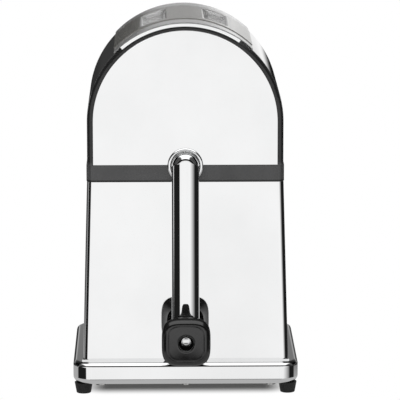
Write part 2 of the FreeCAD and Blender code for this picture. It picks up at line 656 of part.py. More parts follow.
def make_lid():
    """A clear curved lid with a pinch grip: two finger wells either side of a bridge."""
    body = new_body("lid")
    pad(body, "YZ", "-lid_half_width", "lid_half_width",
        sector("lid_inner", "lid_outer", "-lid_front", "lid_rear"))
    wall_angle = f"(lid_end_wall / lid_inner * 180 / {math.pi})"
    lip_low, lip_high = "(rim_radius + lid_gap)", "(lid_outer - lid_thickness / 2)"
    pad(body, "YZ", "-lid_half_width", "lid_half_width",
        sector(lip_low, lip_high, "-lid_front", f"-lid_front + {wall_angle}"))
    pad(body, "YZ", "-lid_half_width", "lid_half_width",
        sector(lip_low, lip_high, f"lid_rear - {wall_angle}", "lid_rear"))
    crest = "(arch_centre + lid_outer)"
    floor = f"({crest} - recess_depth)"
    mid_skin = "(lid_inner + lid_thickness / 2)"
    round_edges(body, "lid_edge_round",
                lambda e: on_sides(e, "lid_half_width") and stands_beyond(e, mid_skin))

    def on_arch(radius, across):
        return f"(arch_centre + sqrt({radius} ^ 2 - ({across}) ^ 2))"

    near, far = "(bridge_half - recess_wall)", "(recess_outer + recess_wall)"
    middle = "((bridge_half + recess_outer) / 2)"
    for side in ("-", ""):
        pad(body, "YZ", "-recess_half - recess_wall", "recess_half + recess_wall",
            outline([(side + middle, on_arch(mid_skin, middle)), (side + near, on_arch(mid_skin, near)),
                     (f"{side}({near} + bridge_draft)", f"{floor} - recess_wall"),
                     (f"{side}({far} - recess_shelf)", f"{floor} - recess_slope - recess_wall"),
                     (side + far, on_arch(mid_skin, far))]))
    for side in ("-", ""):
        cut(body, "YZ", "-recess_half", "recess_half",
            outline([(side + "bridge_half", f"{crest} + overrun"),
                     (side + "bridge_half", on_arch("lid_outer", "bridge_half")),
                     (f"{side}(bridge_half + bridge_draft)", floor),
                     (f"{side}(recess_outer - recess_shelf)", f"{floor} - recess_slope"),
                     (side + "recess_outer", on_arch("lid_outer", "recess_outer")),
                     (side + "recess_outer", f"{crest} + overrun")]))
    round_edges(body, "recess_round",
                lambda e: on_sides(e, "recess_half") and isinstance(e.Curve, Part.Line))
    return body


# ---- hopper, chute and combs ----

def funnel(inset):
    """Front-to-back section of the hopper, each side moved out by the inset."""
    def wall(sign, mouth):
        return [(f"{sign}({across} + {inset})", up) for across, up in
                ((mouth, "hopper_top"), (mouth, "hopper_bend_top"),
                 ("throat_half", "hopper_bend_bottom"), ("throat_half", "hopper_bottom"))]
    return outline(wall("", "mouth_rear") + wall("-", "mouth_front")[::-1])


def make_hopper():
    body = new_body("hopper")
    outer_x = "(hopper_half_width + hopper_wall)"
    pad(body, "YZ", f"-{outer_x}", outer_x, funnel("hopper_wall"))
    flange_x = f"({outer_x} + hopper_flange)"
    pad(body, "XY", "hopper_top - hopper_wall", "hopper_top",
        box(f"-{flange_x}", flange_x, "-(mouth_front + hopper_wall + hopper_flange)",
            "(mouth_rear + hopper_wall + hopper_flange)"))
    cut(body, "YZ", "-hopper_half_width", "hopper_half_width", funnel("0"))
    cut(body, "YZ", f"-{outer_x} - overrun", f"{outer_x} + overrun",
        disc("0", "axle_height", "shoulder_radius + hole_gap"))
    cut(body, "XZ", "-throat_half - hopper_wall - overrun", "throat_half + hopper_wall + overrun",
        *[disc(x, "axle_height", "screw_radius + fit_gap") for x in comb_screw_x])
    return body


def make_chute():
    body = new_body("ice_chute")
    inner_x = "(hopper_half_width + hopper_wall + fit_gap)"
    inner_y = "(throat_half + hopper_wall + fit_gap)"
    for low, skin in (("chute_bottom", "chute_wall"), ("deck_bottom - chute_wall", "chute_flange")):
        pad(body, "XY", low, "deck_bottom",
            box(f"-{inner_x} - {skin}", f"{inner_x} + {skin}",
                f"-{inner_y} - {skin}", f"{inner_y} + {skin}"))
    cut(body, "XY", "chute_bottom - overrun", "deck_bottom + overrun",
        box(f"-{inner_x}", inner_x, f"-{inner_y}", inner_y))
    return body


def make_comb(label, side, root_half, tip_half):
    """A bar of fixed teeth on one wall of the throat, standing between the rotor blades."""
    body = new_body(label)
    wall, bar, tip = f"{side}throat_half", f"{side}(throat_half - comb_bar)", f"{side}comb_reach"
    low, high = "axle_height - comb_bar_half", "axle_height + comb_bar_half"
    pad(body, "YZ", "-hopper_half_width + fit_gap", "hopper_half_width - fit_gap",
        outline([(wall, low), (bar, low), (bar, high), (wall, high)]))
    for place_x in tooth_x:
        pad(body, "YZ", f"{place_x} - comb_thickness / 2", f"{place_x} + comb_thickness / 2",
            outline([(bar, f"axle_height - {root_half}"), (tip, f"axle_height - {tip_half}"),
                     (tip, f"axle_height + {tip_half}"), (bar, f"axle_height + {root_half}")]))
    cut(body, "XZ", "-throat_half", "throat_half",
        *[disc(x, "axle_height", "screw_radius") for x in comb_screw_x])
    return body


# ---- shaft, rotor and bushes ----

def make_shaft():
    """Steel shaft: plain journal, clip groove, hexagon, shoulder, crank journal, square drive."""
    body = new_body("rotor_shaft")
    pad(body, "YZ", "clip_high", "hopper_half_width", hexagon("hex_flats"))
    pad(body, "YZ", "hopper_half_width", "shoulder_end", disc("0", "0", "shoulder_radius"))
    pad(body, "YZ", "shoulder_end", "arm_back", disc("0", "0", "crank_journal"))
    half = "(drive_square / 2)"
    pad(body, "YZ", "arm_back", "arm_back + drive_length", box(f"-{half}", half, f"-{half}", half))
    pad(body, "YZ", "clip_low", "clip_high", disc("0", "0", "plain_journal - groove_depth"))
    pad(body, "YZ", "-frame_inner_x - frame_wall + end_gap", "clip_low", disc("0", "0", "plain_journal"))
    place(body, z="axle_height")
    return body


blade_arms = 4
hexagon_step = 60  # degrees between the ways that a blade fits on the hexagon

# one hooked arm as (radius, degrees from its start)
blade_arm = [("blade_root", 20), ("blade_tip - blade_hook", 32), ("blade_tip", 38),
             ("blade_tip", 52), ("blade_root", 70)]


def make_blade(number):
    """A four-armed crushing blade: hooked arms on a hexagon hub, turned to suit its place."""
    body = new_body(f"rotor_blade_{number}")
    points = []
    for arm in range(blade_arms):
        for radius, angle in blade_arm:
            turn = angle + 360 // blade_arms * arm
            points.append((f"({radius}) * cos({turn}deg)", f"({radius}) * sin({turn}deg)"))
    pad(body, "YZ", "-blade_thickness / 2", "blade_thickness / 2",
        outline(points), hexagon("(hex_flats + 2 * running_gap)"))
    place(body, x=blade_x(number), z="axle_height", turn=hexagon_step * (number % 3))
    return body


def make_spacer(label, start, stop):
    """A turned sleeve with a hexagon bore that keeps blades apart on the shaft."""
    body = new_body(label)
    bore = hexagon("(hex_flats + 2 * running_gap)")
    pad(body, "YZ", start, stop, disc("0", "0", "spacer_radius"), bore)
    place(body, z="axle_height")
    return body


def make_clip():
    """Open retaining ring in the groove of the plain journal."""
    body = new_body("shaft_clip")
    inner = "(plain_journal - groove_depth)"
    pad(body, "YZ", "clip_low", "clip_high", disc("0", "0", f"{inner} + clip_rim"), disc("0", "0", inner))
    cut(body, "YZ", "clip_low", "clip_high",
        box("-clip_mouth / 2", "clip_mouth / 2", "0", "2 * plain_journal"))
    place(body, z="axle_height")
    return body


def make_bush(label, side, journal, barrel_end):
    """Flanged bearing bush pressed into the frame from inside."""
    body = new_body(label)
    bore, barrel = f"({journal} + running_gap)", f"({journal} + running_gap + bush_wall)"
    wall_face, inner_face = f"{side}frame_inner_x", f"{side}(frame_inner_x - bush_flange)"
    spans = [(inner_face, wall_face, f"{barrel} + bush_flange_width"),
             (wall_face, f"{side}{barrel_end}", barrel)]
    for start, stop, radius in spans:
        low, high = (start, stop) if side == "" else (stop, start)
        pad(body, "YZ", low, high, disc("0", "0", radius), disc("0", "0", bore))
    place(body, z="axle_height")
    return body


def make_hub_ring():
    body = new_body("hub_ring")
    pad(body, "YZ", "frame_face", "hub_front",
        disc("0", "0", "hub_radius"), disc("0", "0", "crank_journal + hole_gap"))
    bore_edge = 2 * math.pi * value("crank_journal + hole_gap")
    round_edges(body, "hub_round", lambda e: lies_at(e, "x", "hub_front") and e.Length > 1.01 * bore_edge)
    place(body, z="axle_height")
    return body


# ---- crank arm and knob ----

def make_crank_arm():
    """A straight flat-backed arm with a rounded face, keyed to the square end of the shaft."""
    body = new_body("crank_arm")
    pad(body, "YZ", "arm_back", "arm_front", slot("arm_half_width", "knob_height", "axle_height"))
    round_edges(body, "arm_round", lambda e: lies_at(e, "x", "arm_front"))
    round_edges(body, "arm_back_round", lambda e: lies_at(e, "x", "arm_back"))
    half = "(drive_square / 2 + running_gap)"
    cut(body, "YZ", "arm_back", "arm_back + drive_length + end_gap",
        box(f"-{half}", half, f"axle_height - {half}", f"axle_height + {half}"))
    cut(body, "YZ", "arm_back", "arm_front", disc("0", "knob_height", "spindle_radius"))
    cut(body, "XZ", "0", "arm_half_width + overrun", disc("grub_x", "axle_height", "grub_radius"))
    return body


def make_grub_screw():
    """Set screw in the arm's edge that bears on the square of the shaft."""
    body = new_body("crank_set_screw")
    bearing = "(drive_square / 2 + running_gap)"
    pad(body, "XZ", bearing, f"{bearing} + grub_length", disc("grub_x", "axle_height", "grub_radius"))
    cut(body, "XZ", f"{bearing} + grub_length / 2", f"{bearing} + grub_length + overrun",
        hexagon("grub_radius", "grub_x", "axle_height"))
    return body


def make_spindle():
    """Riveted pin that the knob turns on, with a domed head in the knob's well."""
    body = new_body("knob_spindle")
    seat = "(knob_front - knob_well_depth + knob_play)"
    pad(body, "YZ", "arm_back", seat, disc("0", "0", "spindle_radius"))
    pad(body, "YZ", seat, f"{seat} + spindle_head_height", disc("0", "0", "spindle_head_radius"))
    round_edges(body, "spindle_head_round",
                lambda e: lies_at(e, "x", f"{seat} + spindle_head_height"))
    place(body, z="knob_height")
    return body


def make_knob():
    """Hand knob, a rounded square that narrows towards the arm, with a round well in its end."""
    body = new_body("knob")
    pad(body, "YZ", "knob_back", "knob_front", round_box("knob_half", "knob_half", "knob_corner"))
    draft_sides(body, "knob_half - knob_back_half", "knob_front - knob_back", "knob_front")
    round_edges(body, "knob_front_round", lambda e: lies_at(e, "x", "knob_front"))
    round_edges(body, "knob_back_round", lambda e: lies_at(e, "x", "knob_back"))
    cut(body, "YZ", "knob_back", "knob_front", disc("0", "0", "spindle_radius + running_gap"))
    cut(body, "YZ", "knob_front - knob_well_depth", "knob_front + overrun",
        disc("0", "0", "knob_well_radius"))
    round_edges(body, "knob_well_round", lambda e: lies_at(e, "x", "knob_front") and e.isClosed())
    place(body, z="knob_height")
    return body


# ---- drawer ----

def housing_face(height, inset="0"):
    """How far in front of the centre the housing's sloping face is at a height."""
    return f"(foot_line_half_depth - body_slope * ({height} - base_top) - {inset})"


def make_drawer_rail(label, side):
    body = new_body(label)
    near, far = "(drawer_half_width - rail_width)", "drawer_half_width"
    ends = (near, far) if side == "" else ("-" + far, "-" + near)
    pad(body, "XY", "base_top", "sill_top", box(*ends, "-rail_front", "drawer_rear"))
    return body


def make_drawer_front():
    """Chrome front of the drawer, flush with the sloping housing, with a finger notch on top."""
    body = new_body("drawer_front")
    half = "(bay_half_width - drawer_front_gap)"
    low, high = "(sill_top + drawer_front_gap)", "(sill_top + bay_height - drawer_front_gap)"
    inset = "drawer_front_thickness"
    pad(body, "YZ", f"-{half}", half,
        outline([("-" + housing_face(low), low), ("-" + housing_face(low, inset), low),
                 ("-" + housing_face(high, inset), high), ("-" + housing_face(high), high)]))
    cut(body, "XZ", f"-{housing_face(low)} - overrun", f"-{housing_face(high, inset)} + overrun",
        disc("0", high, "notch_radius"))
    return body


def make_drawer_tub():
    """Clear tub with a finger trough behind the front and a deep bin behind that."""
    body = new_body("drawer_tub")
    low, high = "drawer_floor", "(drawer_floor + drawer_height)"
    inset = "drawer_front_thickness"
    front_high = housing_face(high, inset)
    pad(body, "YZ", "-drawer_half_width", "drawer_half_width",
        outline([("-" + housing_face(low, inset), low), ("drawer_rear", low),
                 ("drawer_rear", high), ("-" + front_high, high)]))
    trough_front = f"({front_high} - drawer_wall)"
    trough_rear = f"({front_high} - drawer_wall - finger_depth)"
    inner_x = "(drawer_half_width - drawer_wall)"
    cut(body, "XY", f"{low} + drawer_wall", f"{high} + overrun",
        box(f"-{inner_x}", inner_x, f"-{trough_rear} + drawer_wall", "drawer_rear - drawer_wall"))
    cut(body, "XY", f"{high} - finger_drop", f"{high} + overrun",
        box("-finger_half_width", "finger_half_width", f"-{trough_front}", f"-{trough_rear}"))
    cut(body, "XZ", f"-{housing_face(low, inset)} - overrun", f"-{trough_front} + overrun / 2",
        disc("0", "(sill_top + bay_height - drawer_front_gap)", "notch_radius"))
    shelf, block_x = f"{high} - finger_drop - drawer_wall", "(finger_half_width + drawer_wall)"
    hollow = [(inner_x, f"{low} + drawer_wall"), (inner_x, f"{high} - drawer_wall"),
              (block_x, f"{high} - drawer_wall"), (block_x, shelf)]
    cut(body, "XZ", f"-{housing_face(low, inset)} - overrun", f"-{trough_rear}",
        outline(hollow + [(f"-{across}", level) for across, level in hollow[::-1]]))
    return body


# ---- the whole machine ----

pad_screw_z = "foot_height - pad_drop + screw_head_height"
up, down, back = Vector(0, 0, 1), Vector(0, 0, -1), Vector(0, 1, 0)

foot_names = ["foot_front_left", "foot_rear_left", "foot_front_right", "foot_rear_right"]

pieces = [
    make_base_plate(),
    make_base_cover(),
    *[make_foot(name, x, y) for name, (x, y) in zip(foot_names, foot_places)],
    make_screws("cover_screws", [(x, y, pad_screw_z) for x, y in pad_places], up, "screw_length"),
    make_screws("foot_screws", [(x, y, "foot_well_depth") for x, y in foot_places], up, "screw_length"),
    make_screws("housing_screws", [(x, y, "base_top - base_roof") for x, y in post_places], up,
                "screw_length"),
    make_lower_housing(),
    make_drawer_rail("drawer_rail_left", "-"),
    make_drawer_rail("drawer_rail_right", ""),
    make_upper_frame(),
    make_screws("frame_screws", [(x, y, "deck_top") for x, y in post_places], down, "screw_length"),
    make_side_panel("side_panel_crank", 1),
    make_side_panel("side_panel_plain", -1),
    make_cover("front_cover", -1, "lid_front"),
    make_cover("rear_cover", 1, "lid_rear"),
    make_mouth_frame(),
    make_lid(),
    make_hopper(),
    make_chute(),
    make_comb("coarse_comb", "-", "comb_root_half", "comb_tip_half"),
    make_comb("fine_comb", "", "fine_root_half", "fine_tip_half"),
    make_screws("comb_screws",
                [(x, "-throat_half - hopper_wall", "axle_height") for x in comb_screw_x], back,
                "hopper_wall + comb_bar"),
    make_bush("bush_crank", "", "crank_journal", "frame_face"),
    make_bush("bush_plain", "-", "plain_journal", "(frame_inner_x + frame_wall)"),
    make_hub_ring(),
    make_shaft(),
    *[make_blade(number) for number in range(1, blade_total + 1)],
    *[make_spacer(f"rotor_spacer_{number}", f"{blade_x(number)} + blade_thickness / 2",
                  f"{blade_x(number + 1)} - blade_thickness / 2") for number in range(1, blade_total)],
    make_spacer(f"rotor_spacer_{blade_total}", f"{blade_x(blade_total)} + blade_thickness / 2",
                "hopper_half_width"),
    make_spacer("end_sleeve", "clip_high", f"{blade_x(1)} - blade_thickness / 2"),
    make_clip(),
    make_crank_arm(),
    make_grub_screw(),
    make_spindle(),
    make_knob(),
    make_drawer_tub(),
    make_drawer_front(),
]

doc.recompute()
for thing in doc.Objects:
    if {"Invalid", "Error"} & set(thing.State):
        raise RuntimeError(f"{thing.Label} did not build: {thing.State}")
for piece in pieces:
    if piece.Shape.isNull() or not piece.Shape.isValid():
        raise RuntimeError(f"{piece.Label} has no valid shape")

os.makedirs("parts", exist_ok=True)
for piece in pieces:
    piece.Shape.exportStep(f"parts/{piece.Label}.step")
    print(f"{piece.Label:22s} {piece.Shape.Volume / 1000:9.2f} cm3, {len(piece.Shape.Solids)} solids")
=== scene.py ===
import math

import bmesh
import bpy
import numpy as np
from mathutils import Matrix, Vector


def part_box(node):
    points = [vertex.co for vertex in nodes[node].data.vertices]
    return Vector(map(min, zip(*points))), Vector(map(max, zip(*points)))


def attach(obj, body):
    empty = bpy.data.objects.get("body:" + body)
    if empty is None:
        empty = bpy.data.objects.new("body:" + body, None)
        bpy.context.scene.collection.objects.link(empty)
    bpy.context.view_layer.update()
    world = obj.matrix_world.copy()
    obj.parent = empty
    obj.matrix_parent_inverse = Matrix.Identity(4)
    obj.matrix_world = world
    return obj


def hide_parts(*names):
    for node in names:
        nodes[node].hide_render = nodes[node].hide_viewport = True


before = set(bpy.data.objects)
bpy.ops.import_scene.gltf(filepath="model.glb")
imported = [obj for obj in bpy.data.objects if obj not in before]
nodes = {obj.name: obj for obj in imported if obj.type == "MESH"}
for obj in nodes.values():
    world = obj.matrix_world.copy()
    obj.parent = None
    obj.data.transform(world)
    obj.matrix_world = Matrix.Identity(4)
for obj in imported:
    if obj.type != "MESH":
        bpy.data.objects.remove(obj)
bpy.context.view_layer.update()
mm = 0.001


# shader nodes: a socket given as content is linked, anything else becomes the socket's own value

mixLow, mixHigh, mixOut = 6, 7, 2  # the colour sockets of a mix node


def addNode(tree, kind, inputs=None, **settings):
    node = tree.nodes.new(kind)
    for key, setting in settings.items():
        setattr(node, key, setting)
    for key, content in (inputs or {}).items():
        if isinstance(content, bpy.types.NodeSocket):
            tree.links.new(content, node.inputs[key])
        else:
            node.inputs[key].default_value = content
    return node


def compute(tree, operation, *parts):
    return addNode(tree, "ShaderNodeMath", dict(enumerate(parts)), operation=operation).outputs[0]


def axesOf(tree, place):
    return addNode(tree, "ShaderNodeSeparateXYZ", {"Vector": place}).outputs


def rampOf(tree, factor, stops):  # stops are (position, grey) or (position, (r, g, b))
    node = addNode(tree, "ShaderNodeValToRGB", {"Fac": factor})
    elements = node.color_ramp.elements
    while len(elements) < len(stops):
        elements.new(0.5)
    for element, (position, tone) in zip(elements, stops):
        element.position = position
        element.color = (*tone, 1) if isinstance(tone, tuple) else (tone, tone, tone, 1)
    return node.outputs["Color"]


def spread(tree, value, low, high, newLow=0.0, newHigh=1.0):  # smooth step from one level to another
    node = addNode(tree, "ShaderNodeMapRange", {"Value": value, "From Min": low, "From Max": high,
                                                "To Min": newLow, "To Max": newHigh})
    node.interpolation_type = "SMOOTHSTEP"
    return node.outputs["Result"]


def blendOf(tree, factor, low, high):  # a plain number stands for a grey
    low, high = (part if isinstance(part, bpy.types.NodeSocket) else (part, part, part, 1)
                 for part in (low, high))
    return addNode(tree, "ShaderNodeMix", {"Factor": factor, mixLow: low, mixHigh: high},
                   data_type="RGBA").outputs[mixOut]


def scaleOf(tree, colour, factor):
    node = addNode(tree, "ShaderNodeVectorMath", {0: colour, "Scale": factor}, operation="SCALE")
    return node.outputs["Vector"]


def noiseOf(tree, coordinates, scale, detail=3.0, roughness=0.5):
    return addNode(tree, "ShaderNodeTexNoise", {"Vector": coordinates, "Scale": scale, "Detail": detail,
                                                "Roughness": roughness}).outputs["Fac"]


def stretch(tree, place, factors):
    return addNode(tree, "ShaderNodeMapping", {"Vector": place, "Scale": factors}).outputs["Vector"]


def newMaterial(name, plain=None):  # plain values go straight onto the shader's own sockets
    material = bpy.data.materials.new(name)
    material.use_nodes = True
    tree = material.node_tree
    shader = tree.nodes["Principled BSDF"]
    for key, content in (plain or {}).items():
        shader.inputs[key].default_value = content
    place = addNode(tree, "ShaderNodeTexCoord").outputs["Object"]
    return material, tree, shader, place


def bumpOf(tree, shader, height, strength, distance):
    node = addNode(tree, "ShaderNodeBump", {"Height": height, "Strength": strength, "Distance": distance})
    tree.links.new(node.outputs["Normal"], shader.inputs["Normal"])


# materials: a noise is (scale, detail, roughness) and is cut to the span that most of it lies in; "dark" and
# "light" are shares of the tone; a relief is (strength, distance in metres)

noiseSpan = (0.3, 0.7)


def shareOf(tone, share):
    return tuple(part * share for part in tone)


def shadesOf(tree, noise, low, high):
    return rampOf(tree, noise, list(zip(noiseSpan, (low, high))))


# mirror plating: slow waves in the sheet under it, and a faint haze where it has been wiped
chrome = {"haze": (38, 4, 0.6), "dark": 0.975, "smear": (130, 5, 0.6), "smearStretch": (1, 1, 0.25),
          "smearSpan": (0.35, 0.75), "dulled": 2.2, "wave": (16, 1.5, 0.4), "relief": (1.0, 0.0000025)}


def makeChrome(name, tone, polish):
    material, tree, shader, place = newMaterial(name, {"Metallic": 1.0})
    shade = shadesOf(tree, noiseOf(tree, place, *chrome["haze"]), shareOf(tone, chrome["dark"]), tone)
    tree.links.new(shade, shader.inputs["Base Color"])
    smear = noiseOf(tree, stretch(tree, place, chrome["smearStretch"]), *chrome["smear"])
    rough = spread(tree, smear, *chrome["smearSpan"], polish, polish * chrome["dulled"])
    tree.links.new(rough, shader.inputs["Roughness"])
    bumpOf(tree, shader, noiseOf(tree, place, *chrome["wave"]), *chrome["relief"])
    return material


# moulded black plastic and rubber: fine spark-eroded grain, dull patches where hands rub
black = {"shade": (60, 4, 0.6), "dark": 0.85, "light": 1.2, "rub": (240, 3), "rubSpan": (0.3, 0.75),
         "rubShares": (0.85, 1.25), "grainDetail": 2, "grainStrength": 0.25}


def makeBlack(name, tone, gloss, grain, grainSize=2600, shadeHeights=None, shine=0.5, satin=None):
    material, tree, shader, place = newMaterial(name, {"Specular IOR Level": shine})
    low, high = shareOf(tone, black["dark"]), shareOf(tone, black["light"])
    shade = shadesOf(tree, noiseOf(tree, place, *black["shade"]), low, high)
    # painted shade: the tone is darkened by height, as the caller lists it
    if shadeHeights:  # (height in metres, share of the tone) from the lowest up
        lowest, highest = shadeHeights[0][0], shadeHeights[-1][0]
        height = addNode(tree, "ShaderNodeMapRange", {"Value": axesOf(tree, place)["Z"], "From Min": lowest,
                                                      "From Max": highest}).outputs["Result"]
        stops = [((level - lowest) / (highest - lowest), part) for level, part in shadeHeights]
        shade = addNode(tree, "ShaderNodeVectorMath", {0: shade, 1: rampOf(tree, height, stops)},
                        operation="MULTIPLY").outputs["Vector"]
    tree.links.new(shade, shader.inputs["Base Color"])
    glosses = (gloss * part for part in black["rubShares"])
    rough = spread(tree, noiseOf(tree, place, *black["rub"]), *black["rubSpan"], *glosses)
    if satin:  # roughness and shine behind a step along X: the sides are less polished than the face
        along = axesOf(tree, place)["X"]
        rough = blendOf(tree, spread(tree, along, *satin["step"]), satin["rough"], rough)
        shineOf = spread(tree, along, *satin["step"], satin["shine"], shine)
        tree.links.new(shineOf, shader.inputs["Specular IOR Level"])
    tree.links.new(rough, shader.inputs["Roughness"])
    bumps = noiseOf(tree, place, grainSize, black["grainDetail"])
    bumpOf(tree, shader, bumps, black["grainStrength"], grain)
    return material


# ground metal: fine scratches that run one way
ground = {"scratch": (900, 4, 0.7), "dark": 0.8, "roughShares": (0.7, 1.3), "relief": (0.2, 0.00001)}


def makeSteel(name, tone, rough, along):
    material, tree, shader, place = newMaterial(name, {"Metallic": 1.0})
    scratch = noiseOf(tree, stretch(tree, place, along), *ground["scratch"])
    tree.links.new(shadesOf(tree, scratch, shareOf(tone, ground["dark"]), tone), shader.inputs["Base Color"])
    roughs = (rough * part for part in ground["roughShares"])
    tree.links.new(spread(tree, scratch, *noiseSpan, *roughs), shader.inputs["Roughness"])
    bumpOf(tree, shader, scratch, *ground["relief"])
    return material


# food-safe plastic with flow marks
moulding = {"flow": (45, 4, 0.55), "flowStretch": (1, 1, 0.4), "dark": 0.92, "dulled": 1.4,
            "grain": (1800, 2), "relief": (0.15, 0.00002)}


def makeMoulding(name, tone, gloss):
    material, tree, shader, place = newMaterial(name)
    flow = noiseOf(tree, stretch(tree, place, moulding["flowStretch"]), *moulding["flow"])
    tree.links.new(shadesOf(tree, flow, shareOf(tone, moulding["dark"]), tone), shader.inputs["Base Color"])
    rough = spread(tree, flow, *noiseSpan, gloss, gloss * moulding["dulled"])
    tree.links.new(rough, shader.inputs["Roughness"])
    bumpOf(tree, shader, noiseOf(tree, place, *moulding["grain"]), *moulding["relief"])
    return material


# clear moulded plastic: its surface ripples a little
clearMoulding = {"ior": 1.49, "shade": (40, 3), "light": 1.03, "mist": (160, 3), "misted": 2,
                 "ripple": (70, 2), "relief": (0.3, 0.00003), "soft": 0.001}


def makeClear(name, tone, haze, clear, pale=None):
    plain = {"IOR": clearMoulding["ior"], "Transmission Weight": clear}
    material, tree, shader, place = newMaterial(name, plain)
    light, soft = shareOf(tone, clearMoulding["light"]), clearMoulding["soft"]
    shade = shadesOf(tree, noiseOf(tree, place, *clearMoulding["shade"]), tone, light)
    # painted light: the lid is paler along both borders and in the wells, standing in for the light they
    # catch
    if pale:  # paler along both borders and in the wells
        axes = axesOf(tree, place)
        across, along = (compute(tree, "ABSOLUTE", axes[key]) for key in "XY")
        wide, near, far = pale["wells"]
        inside = compute(tree, "MULTIPLY", spread(tree, along, near, near + soft),
                         spread(tree, along, far + soft, far))
        inside = compute(tree, "MULTIPLY", inside, spread(tree, across, wide + soft, wide))
        share = compute(tree, "MAXIMUM", spread(tree, across, *pale["border"]), inside)
        shade = blendOf(tree, share, shade, pale["tone"])
    tree.links.new(shade, shader.inputs["Base Color"])
    mist = noiseOf(tree, place, *clearMoulding["mist"])
    rough = spread(tree, mist, *noiseSpan, haze, haze * clearMoulding["misted"])
    tree.links.new(rough, shader.inputs["Roughness"])
    bumpOf(tree, shader, noiseOf(tree, place, *clearMoulding["ripple"]), *clearMoulding["relief"])
    return material


# painted shade: the frame's tone is darkened in a strip at the foot of the band, a painted shadow line where
# the band stands proud, and on the rim above the band, a painted dark reflection
frameShadeHeights = [(0.1440, 0.1), (0.1453, 0.1), (0.1459, 1), (0.1556, 1), (0.158, 0.2)]
knobSatin = {"step": (0.0926, 0.0938), "rough": 0.3, "shine": 0.03}
# painted light on the lid: paler borders and wells
lidPaintedLight = {"border": (0.036, 0.0375), "wells": (0.0285, 0.012, 0.0295), "tone": 0.82}
finishes = {  # by slot, and one more for the lid
    "chrome": makeChrome("mirrorChrome", (0.955, 0.958, 0.96), 0.022),
    "chrome_pin": makeChrome("polishedPin", (0.9, 0.905, 0.91), 0.14),
    "black_plastic": makeBlack("blackFrame", (0.062, 0.062, 0.063), 0.2, 0.00002, shadeHeights=frameShadeHeights),
    "knob_black": makeBlack("knobBlack", (0.006, 0.006, 0.006), 0.13, 0.000006, shine=0.8, satin=knobSatin),
    "foot_rubber": makeBlack("footRubber", (0.008, 0.008, 0.008), 0.5, 0.00006, 1500),
    "hopper_plastic": makeMoulding("hopperPlastic", (0.5, 0.49, 0.46), 0.3),
    "clear_plastic": makeClear("clearPlastic", (0.55, 0.54, 0.515), 0.02, 0.8),
    "lid_plastic": makeClear("lidPlastic", (0.53, 0.52, 0.495), 0.02, 0.8, lidPaintedLight),
    "steel": makeSteel("groundSteel", (0.62, 0.62, 0.61), 0.28, (0.08, 1, 1)),
    "screw_steel": makeSteel("screwSteel", (0.5, 0.5, 0.49), 0.34, (1, 1, 0.2)),
    "bush_bronze": makeSteel("bushBronze", (0.55, 0.36, 0.17), 0.33, (1, 1, 0.3)),
}
for node in nodes.values():
    slotName = node.data.materials[0].name
    node.data.materials.clear()
    node.data.materials.append(finishes[slotName])
print("materials:", len(finishes))


# surfaces: a piece is a grid of points in millimetres, worked out as whole arrays. Each row is a closed
# ring. The first and last rows are the same ring, or each falls together in one point or in pairs, so
# merging the points that meet closes the surface. Edges over the angle "sharp" stay sharp

circle = 2  # the squareness of a round ring
mergeGap = 0.000002
quarterTurn = np.pi / 2


def smooth(share):  # 3 s^2 - 2 s^3 between 0 and 1
    share = np.clip(share, 0, 1)
    return share * share * (3 - 2 * share)


def gridFaces(rows, columns):  # a four-sided face between neighbouring points of neighbouring rows
    row = np.arange(rows - 1)[:, None] * columns
    column = np.arange(columns)[None, :]
    beside = (column + 1) % columns
    corners = [row + column, row + beside, row + columns + beside, row + columns + column]
    return np.stack(corners, -1).reshape(-1, 4)


def newPiece(name, grid, body, replaced, slotName, sharp, finish=None):
    mesh = bpy.data.meshes.new(name)
    mesh.from_pydata((grid.reshape(-1, 3) * mm).tolist(), [], gridFaces(*grid.shape[:2]).tolist())
    shell = bmesh.new()
    shell.from_mesh(mesh)
    bmesh.ops.remove_doubles(shell, verts=shell.verts, dist=mergeGap)
    bmesh.ops.recalc_face_normals(shell, faces=shell.faces)
    shell.to_mesh(mesh)
    shell.free()
    mesh.shade_smooth()
    mesh.set_sharp_from_angle(angle=math.radians(sharp))
    mesh.materials.append(finishes[finish or slotName])
    piece = bpy.data.objects.new(name, mesh)
    bpy.context.scene.collection.objects.link(piece)
    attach(piece, body)
    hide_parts(*replaced)
    print(name + ":", len(mesh.polygons), "faces")


# (radius from the axis, height along it) on part of an ellipse
def arcPoints(centre, radii, start, end, steps):
    turn = np.radians(np.linspace(start, end, steps))
    return np.stack([centre[0] + radii[0] * np.cos(turn), centre[1] + radii[1] * np.sin(turn)], -1)


# rings round the X axis, one for each (half width, height along X) of the profile, with squareness n:
# radius = half / (|cos|^n + |sin|^n)^(1/n)
def ringsOf(profile, squares, centre, steps):
    turn = (np.arange(steps) + 0.5) / steps * 2 * np.pi
    power = np.asarray(squares, float)[:, None] * np.ones(steps)
    reach = (np.abs(np.cos(turn)) ** power + np.abs(np.sin(turn)) ** power) ** (1 / power)
    radius = profile[:, :1] / reach
    along = profile[:, 1:] * np.ones(steps)
    return np.stack([along, centre[0] + radius * np.cos(turn), centre[1] + radius * np.sin(turn)], -1)


# knob: a rounded square that widens outwards, a rolled border, a fine crease, a slightly crowned face and a
# round well. The side's half width grows with a power of the way along, the crease is one period of a
# cosine, and the squareness eases from the crease to the round well
knob = {"centre": (0.0, 42.5), "back": 68.8, "front": 95.5, "backHalf": 12.6, "half": 16.2, "square": 3.55,
        "backRound": 1.5, "flare": 1.6, "flareStart": 0.04, "border": (4.2, 5.4), "borderTurn": (6, 84),
        "sink": 0.12, "crease": (11.75, 0.5, 0.22), "creaseGap": 0.4, "crown": 0.38, "faceSquare": 4.2,
        "squareEase": 1.5, "well": 4.9, "wellRound": 1.25, "wellTurn": (80, 0), "wellGap": 0.3,
        "wellDepth": 6.4, "floorRound": 0.6, "bore": 2.95, "steps": 160, "sharp": 34,
        "rings": {"back": 8, "side": 18, "border": 22, "crease": 13, "face": 16, "edge": 9, "floor": 6}}


